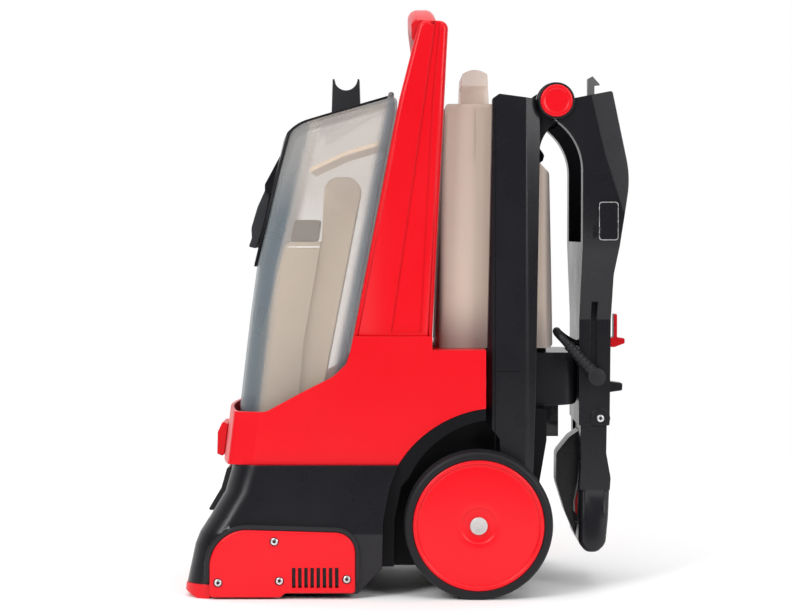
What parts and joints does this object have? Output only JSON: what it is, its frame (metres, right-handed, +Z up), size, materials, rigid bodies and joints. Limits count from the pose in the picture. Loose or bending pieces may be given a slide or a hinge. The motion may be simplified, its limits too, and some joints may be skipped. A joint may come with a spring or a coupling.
{
  "type": "carpet cleaning machine",
  "caption": "Upright carpet cleaning machine: red casing with carrying frame, smoky lift-off tanks, folding rear handle with trigger, rear wheels and a front suction lip.",
  "frame": {"origin": "centre of the overall box on the floor", "axes": "+Z up, +X to the rear (the handle side), -X to the front lip, -Y the left side shown in the picture"},
  "size_m": [0.538, 0.3236, 0.7111],
  "materials": {
    "red_plastic": "glossy moulded red plastic",
    "black_plastic": "glossy moulded black plastic",
    "matte_black": "matte black plastic",
    "smoky_tank": "smoky translucent plastic",
    "duct_plastic": "light translucent plastic",
    "grey_plastic": "grey plastic",
    "steel": "plated steel",
    "motor_casing": "cast casing",
    "tyre_rubber": "matte rubber",
    "bristle": "nylon bristle"
  },
  "bodies": {
    "chassis": {"base_shell": "black_plastic", "suction_lip": "red_plastic", "nozzle_duct": "black_plastic", "side_cover_left": "red_plastic", "side_cover_right": "red_plastic", "cover_screws": "steel", "rear_chassis": "matte_black", "collar_body": "red_plastic", "carry_frame": "red_plastic", "frame_web": "red_plastic", "column_left": "black_plastic", "column_right": "black_plastic", "pivot_pins": "steel", "rear_housing": "black_plastic", "mains_inlet": "matte_black", "pump": "motor_casing", "axle": "steel", "axle_caps": "steel", "vacuum_motor": "motor_casing", "brush_motor": "motor_casing", "spray_bar": "matte_black", "drive_belt": "tyre_rubber"},
    "bay_latch": {"release_latch": "red_plastic"},
    "left_wheel": {"wheel_left": "red_plastic", "tyre_left": "tyre_rubber"},
    "right_wheel": {"wheel_right": "red_plastic", "tyre_right": "tyre_rubber"},
    "fan": {"suction_fan": "motor_casing"},
    "brush": {"brush_roll": "bristle", "brush_pulley": "matte_black"},
    "drive_pulley": {"motor_pulley": "matte_black"},
    "recovery": {"recovery_tank": "smoky_tank", "lid_pin": "steel", "intake_duct": "duct_plastic", "air_duct": "duct_plastic", "baffle": "duct_plastic"},
    "tank_float": {"float_block": "grey_plastic"},
    "lid": {"tank_lid": "black_plastic", "hose_rest": "black_plastic"},
    "lid_handle": {"lid_latch": "black_plastic"},
    "clean": {"clean_tank": "smoky_tank", "outlet_valve": "matte_black"},
    "cap": {"fill_cap": "black_plastic"},
    "handle": {"handle_arm_left": "black_plastic", "handle_arm_right": "black_plastic", "handle_back": "black_plastic", "handle_inner_cover": "black_plastic", "grip_frame": "black_plastic", "grip_bar": "black_plastic", "trigger_guard": "black_plastic", "cord_peg": "black_plastic", "lock_tongue": "grey_plastic", "arm_plates": "black_plastic", "lead_gland": "matte_black", "handle_lead": "matte_black", "handle_screws": "steel"},
    "handle_trigger": {"trigger": "red_plastic"},
    "hook": {"cord_hook": "red_plastic"},
    "left_button": {"pivot_button_left": "red_plastic"},
    "right_button": {"pivot_button_right": "red_plastic"}
  },
  "joints": [
    {"name": "left_wheel_spin", "type": "hinge", "parent": "chassis", "child": "left_wheel", "pos_m": [0.0815, -0.141, 0.0885], "axis": [0, 1, 0], "continuous": true},
    {"name": "right_wheel_spin", "type": "hinge", "parent": "chassis", "child": "right_wheel", "pos_m": [0.0815, 0.141, 0.0885], "axis": [0, 1, 0], "continuous": true},
    {"name": "fan_spin", "type": "hinge", "parent": "chassis", "child": "fan", "pos_m": [0.044, 0, 0.216], "axis": [0, 0, 1], "continuous": true},
    {"name": "brush_spin", "type": "hinge", "parent": "chassis", "child": "brush", "pos_m": [-0.19, 0, 0.027], "axis": [0, 1, 0], "continuous": true},
    {"name": "motor_pulley_spin", "type": "hinge", "parent": "chassis", "child": "drive_pulley", "pos_m": [-0.11, -0.133, 0.108], "axis": [0, 1, 0], "continuous": true},
    {"name": "bay_latch_slide", "type": "slide", "parent": "chassis", "child": "bay_latch", "axis": [0.125, 0, 0.9922], "range_m": [0, 0.008], "stiffness_N_per_m": 120, "springref_m": -0.004},
    {"name": "recovery_tank_lift", "type": "slide", "parent": "chassis", "child": "recovery", "axis": [0, 0, -1], "range_m": [-0.3, 0]},
    {"name": "float_rise", "type": "slide", "parent": "recovery", "child": "tank_float", "axis": [0, 0, 1], "range_m": [0, 0.03]},
    {"name": "lid_open", "type": "hinge", "parent": "recovery", "child": "lid", "pos_m": [-0.02213, 0, 0.60115], "axis": [0, 1, 0], "range_deg": [0, 70]},
    {"name": "lid_latch_swing", "type": "hinge", "parent": "lid", "child": "lid_handle", "pos_m": [-0.17489, 0, 0.488], "axis": [0, 1, 0], "range_deg": [0, 60]},
    {"name": "clean_tank_lift", "type": "slide", "parent": "chassis", "child": "clean", "axis": [0, 0, -1], "range_m": [-0.25, 0]},
    {"name": "fill_cap_turn", "type": "hinge", "parent": "clean", "child": "cap", "pos_m": [0.14484, 0, 0.53552], "axis": [0.7777, 0, 0.6286], "range_deg": [0, 90]},
    {"name": "handle_fold", "type": "hinge", "parent": "chassis", "child": "handle", "pos_m": [0.175, 0, 0.593], "axis": [0, -1, 0], "range_deg": [0, 150]},
    {"name": "trigger_pull", "type": "hinge", "parent": "handle", "child": "handle_trigger", "pos_m": [0.224, 0, 0.168], "axis": [0, -1, 0], "range_deg": [0, 10], "stiffness_Nm_per_rad": 0.6, "springref_deg": -8.59},
    {"name": "hook_turn", "type": "hinge", "parent": "handle", "child": "hook", "pos_m": [0.2465, 0, 0.299], "axis": [1, 0, 0], "range_deg": [0, 180]},
    {"name": "left_button_press", "type": "slide", "parent": "handle", "child": "left_button", "axis": [0, 1, 0], "range_m": [0, 0.003], "stiffness_N_per_m": 400, "springref_m": -0.004},
    {"name": "right_button_press", "type": "slide", "parent": "handle", "child": "right_button", "axis": [0, -1, 0], "range_m": [0, 0.003], "stiffness_N_per_m": 400, "springref_m": -0.004}
  ],
  "couplings": [
    {"joint": "motor_pulley_spin", "follows": "brush_spin", "ratio": 1.75}
  ]
}
